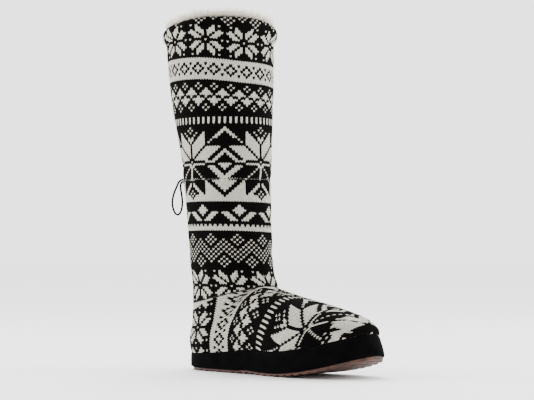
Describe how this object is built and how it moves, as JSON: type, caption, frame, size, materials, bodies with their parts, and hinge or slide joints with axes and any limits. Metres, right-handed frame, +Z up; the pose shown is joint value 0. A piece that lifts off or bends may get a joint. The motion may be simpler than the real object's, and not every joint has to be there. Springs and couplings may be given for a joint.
{
  "type": "slipper boot",
  "caption": "Tall knitted slipper boot, right foot: hollow knit foot and shaft on a suede-wrapped platform, rubber outsole, pile collar, drawcord loop.",
  "frame": {"origin": "on the floor under the heel, in the middle of the rib that the heel stands on", "axes": "+X from heel to toe, +Y to the wearer's left, which is the inner side of this right shoe, +Z up the shaft"},
  "size_m": [0.2895, 0.1286, 0.4034],
  "materials": {
    "outsole_rubber": "matt moulded rubber with cross ribs",
    "black_suede": "short-napped suede",
    "footbed_pile": "brushed pile over foam",
    "foot_knit": "black and off-white jacquard knit",
    "shaft_knit": "black and off-white jacquard knit",
    "collar_pile": "deep off-white pile",
    "eyelet_grey": "satin grey",
    "drawcord_black": "braided cord"
  },
  "bodies": {
    "root": {"outsole": "outsole_rubber", "platform": "black_suede", "insole": "footbed_pile", "upper": "foot_knit", "shaft": "shaft_knit", "fur_collar": "collar_pile", "cord_eyelet": "eyelet_grey", "drawcord": "drawcord_black"}
  },
  "joints": []
}
